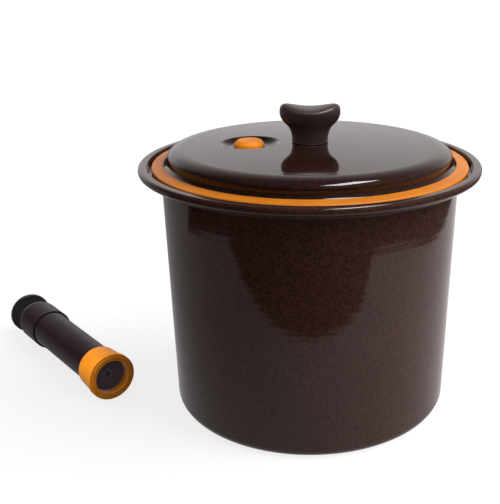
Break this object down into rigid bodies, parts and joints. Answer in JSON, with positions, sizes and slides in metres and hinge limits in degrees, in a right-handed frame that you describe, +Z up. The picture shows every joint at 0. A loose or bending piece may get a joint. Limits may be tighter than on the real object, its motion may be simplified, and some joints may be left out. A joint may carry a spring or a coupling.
{
  "type": "vacuum storage pot with hand pump",
  "caption": "Round enamelled cast iron storage pot with a gasketed domed lid, saddle knob and vacuum valve, and the hand pump that goes with it.",
  "frame": {"origin": "centre of the pot's flat base, on the surface it stands on", "axes": "+Z up along the pot's axis; the valve and the pump are on the -X side; the knob's wide saddle runs along X; -Y faces the picture's viewer"},
  "size_m": [0.4844, 0.3006, 0.277],
  "materials": {
    "brown_enamel": "glossy dark brown enamel with fine speckle",
    "orange_silicone": "satin orange silicone",
    "orange_button": "satin orange plastic",
    "brown_grip": "satin dark brown phenolic",
    "pump_brown": "satin purple-brown plastic",
    "pump_black": "satin near-black plastic",
    "dark_rubber": "matte dark rubber",
    "pale_silicone": "translucent pale silicone",
    "stainless_steel": "bright stainless steel"
  },
  "bodies": {
    "pot": {"pot_body": "brown_enamel"},
    "lid": {"lid_shell": "brown_enamel", "lid_gasket": "orange_silicone", "knob_grip": "brown_grip", "knob_seal": "pale_silicone", "knob_washer": "stainless_steel", "knob_screw": "stainless_steel"},
    "valve": {"valve_button": "orange_button", "valve_seal": "pale_silicone", "valve_retainer": "pale_silicone"},
    "pump": {"pump_barrel": "pump_brown", "pump_cap": "pump_brown", "pump_mouth_ring": "orange_silicone", "inlet_plate": "pump_black", "inlet_valve": "dark_rubber", "rod_bush": "pump_black"},
    "plunger": {"plunger_disc": "pump_black", "plunger_rod": "pump_black", "piston": "pump_black", "piston_seal": "dark_rubber", "piston_screw": "stainless_steel"}
  },
  "joints": [
    {"name": "lid_lift", "type": "slide", "parent": "pot", "child": "lid", "axis": [0, 0, 1], "range_m": [0, 0.12]},
    {"name": "valve_lift", "type": "slide", "parent": "lid", "child": "valve", "axis": [0, 0, 1], "range_m": [0, 0.003]},
    {"name": "pump_lift", "type": "slide", "parent": "pot", "child": "pump", "axis": [0, 0, 1], "range_m": [0, 0.25]},
    {"name": "plunger_pull", "type": "slide", "parent": "pump", "child": "plunger", "axis": [-0.6428, 0.766, -0.0087], "range_m": [0, 0.105]}
  ]
}
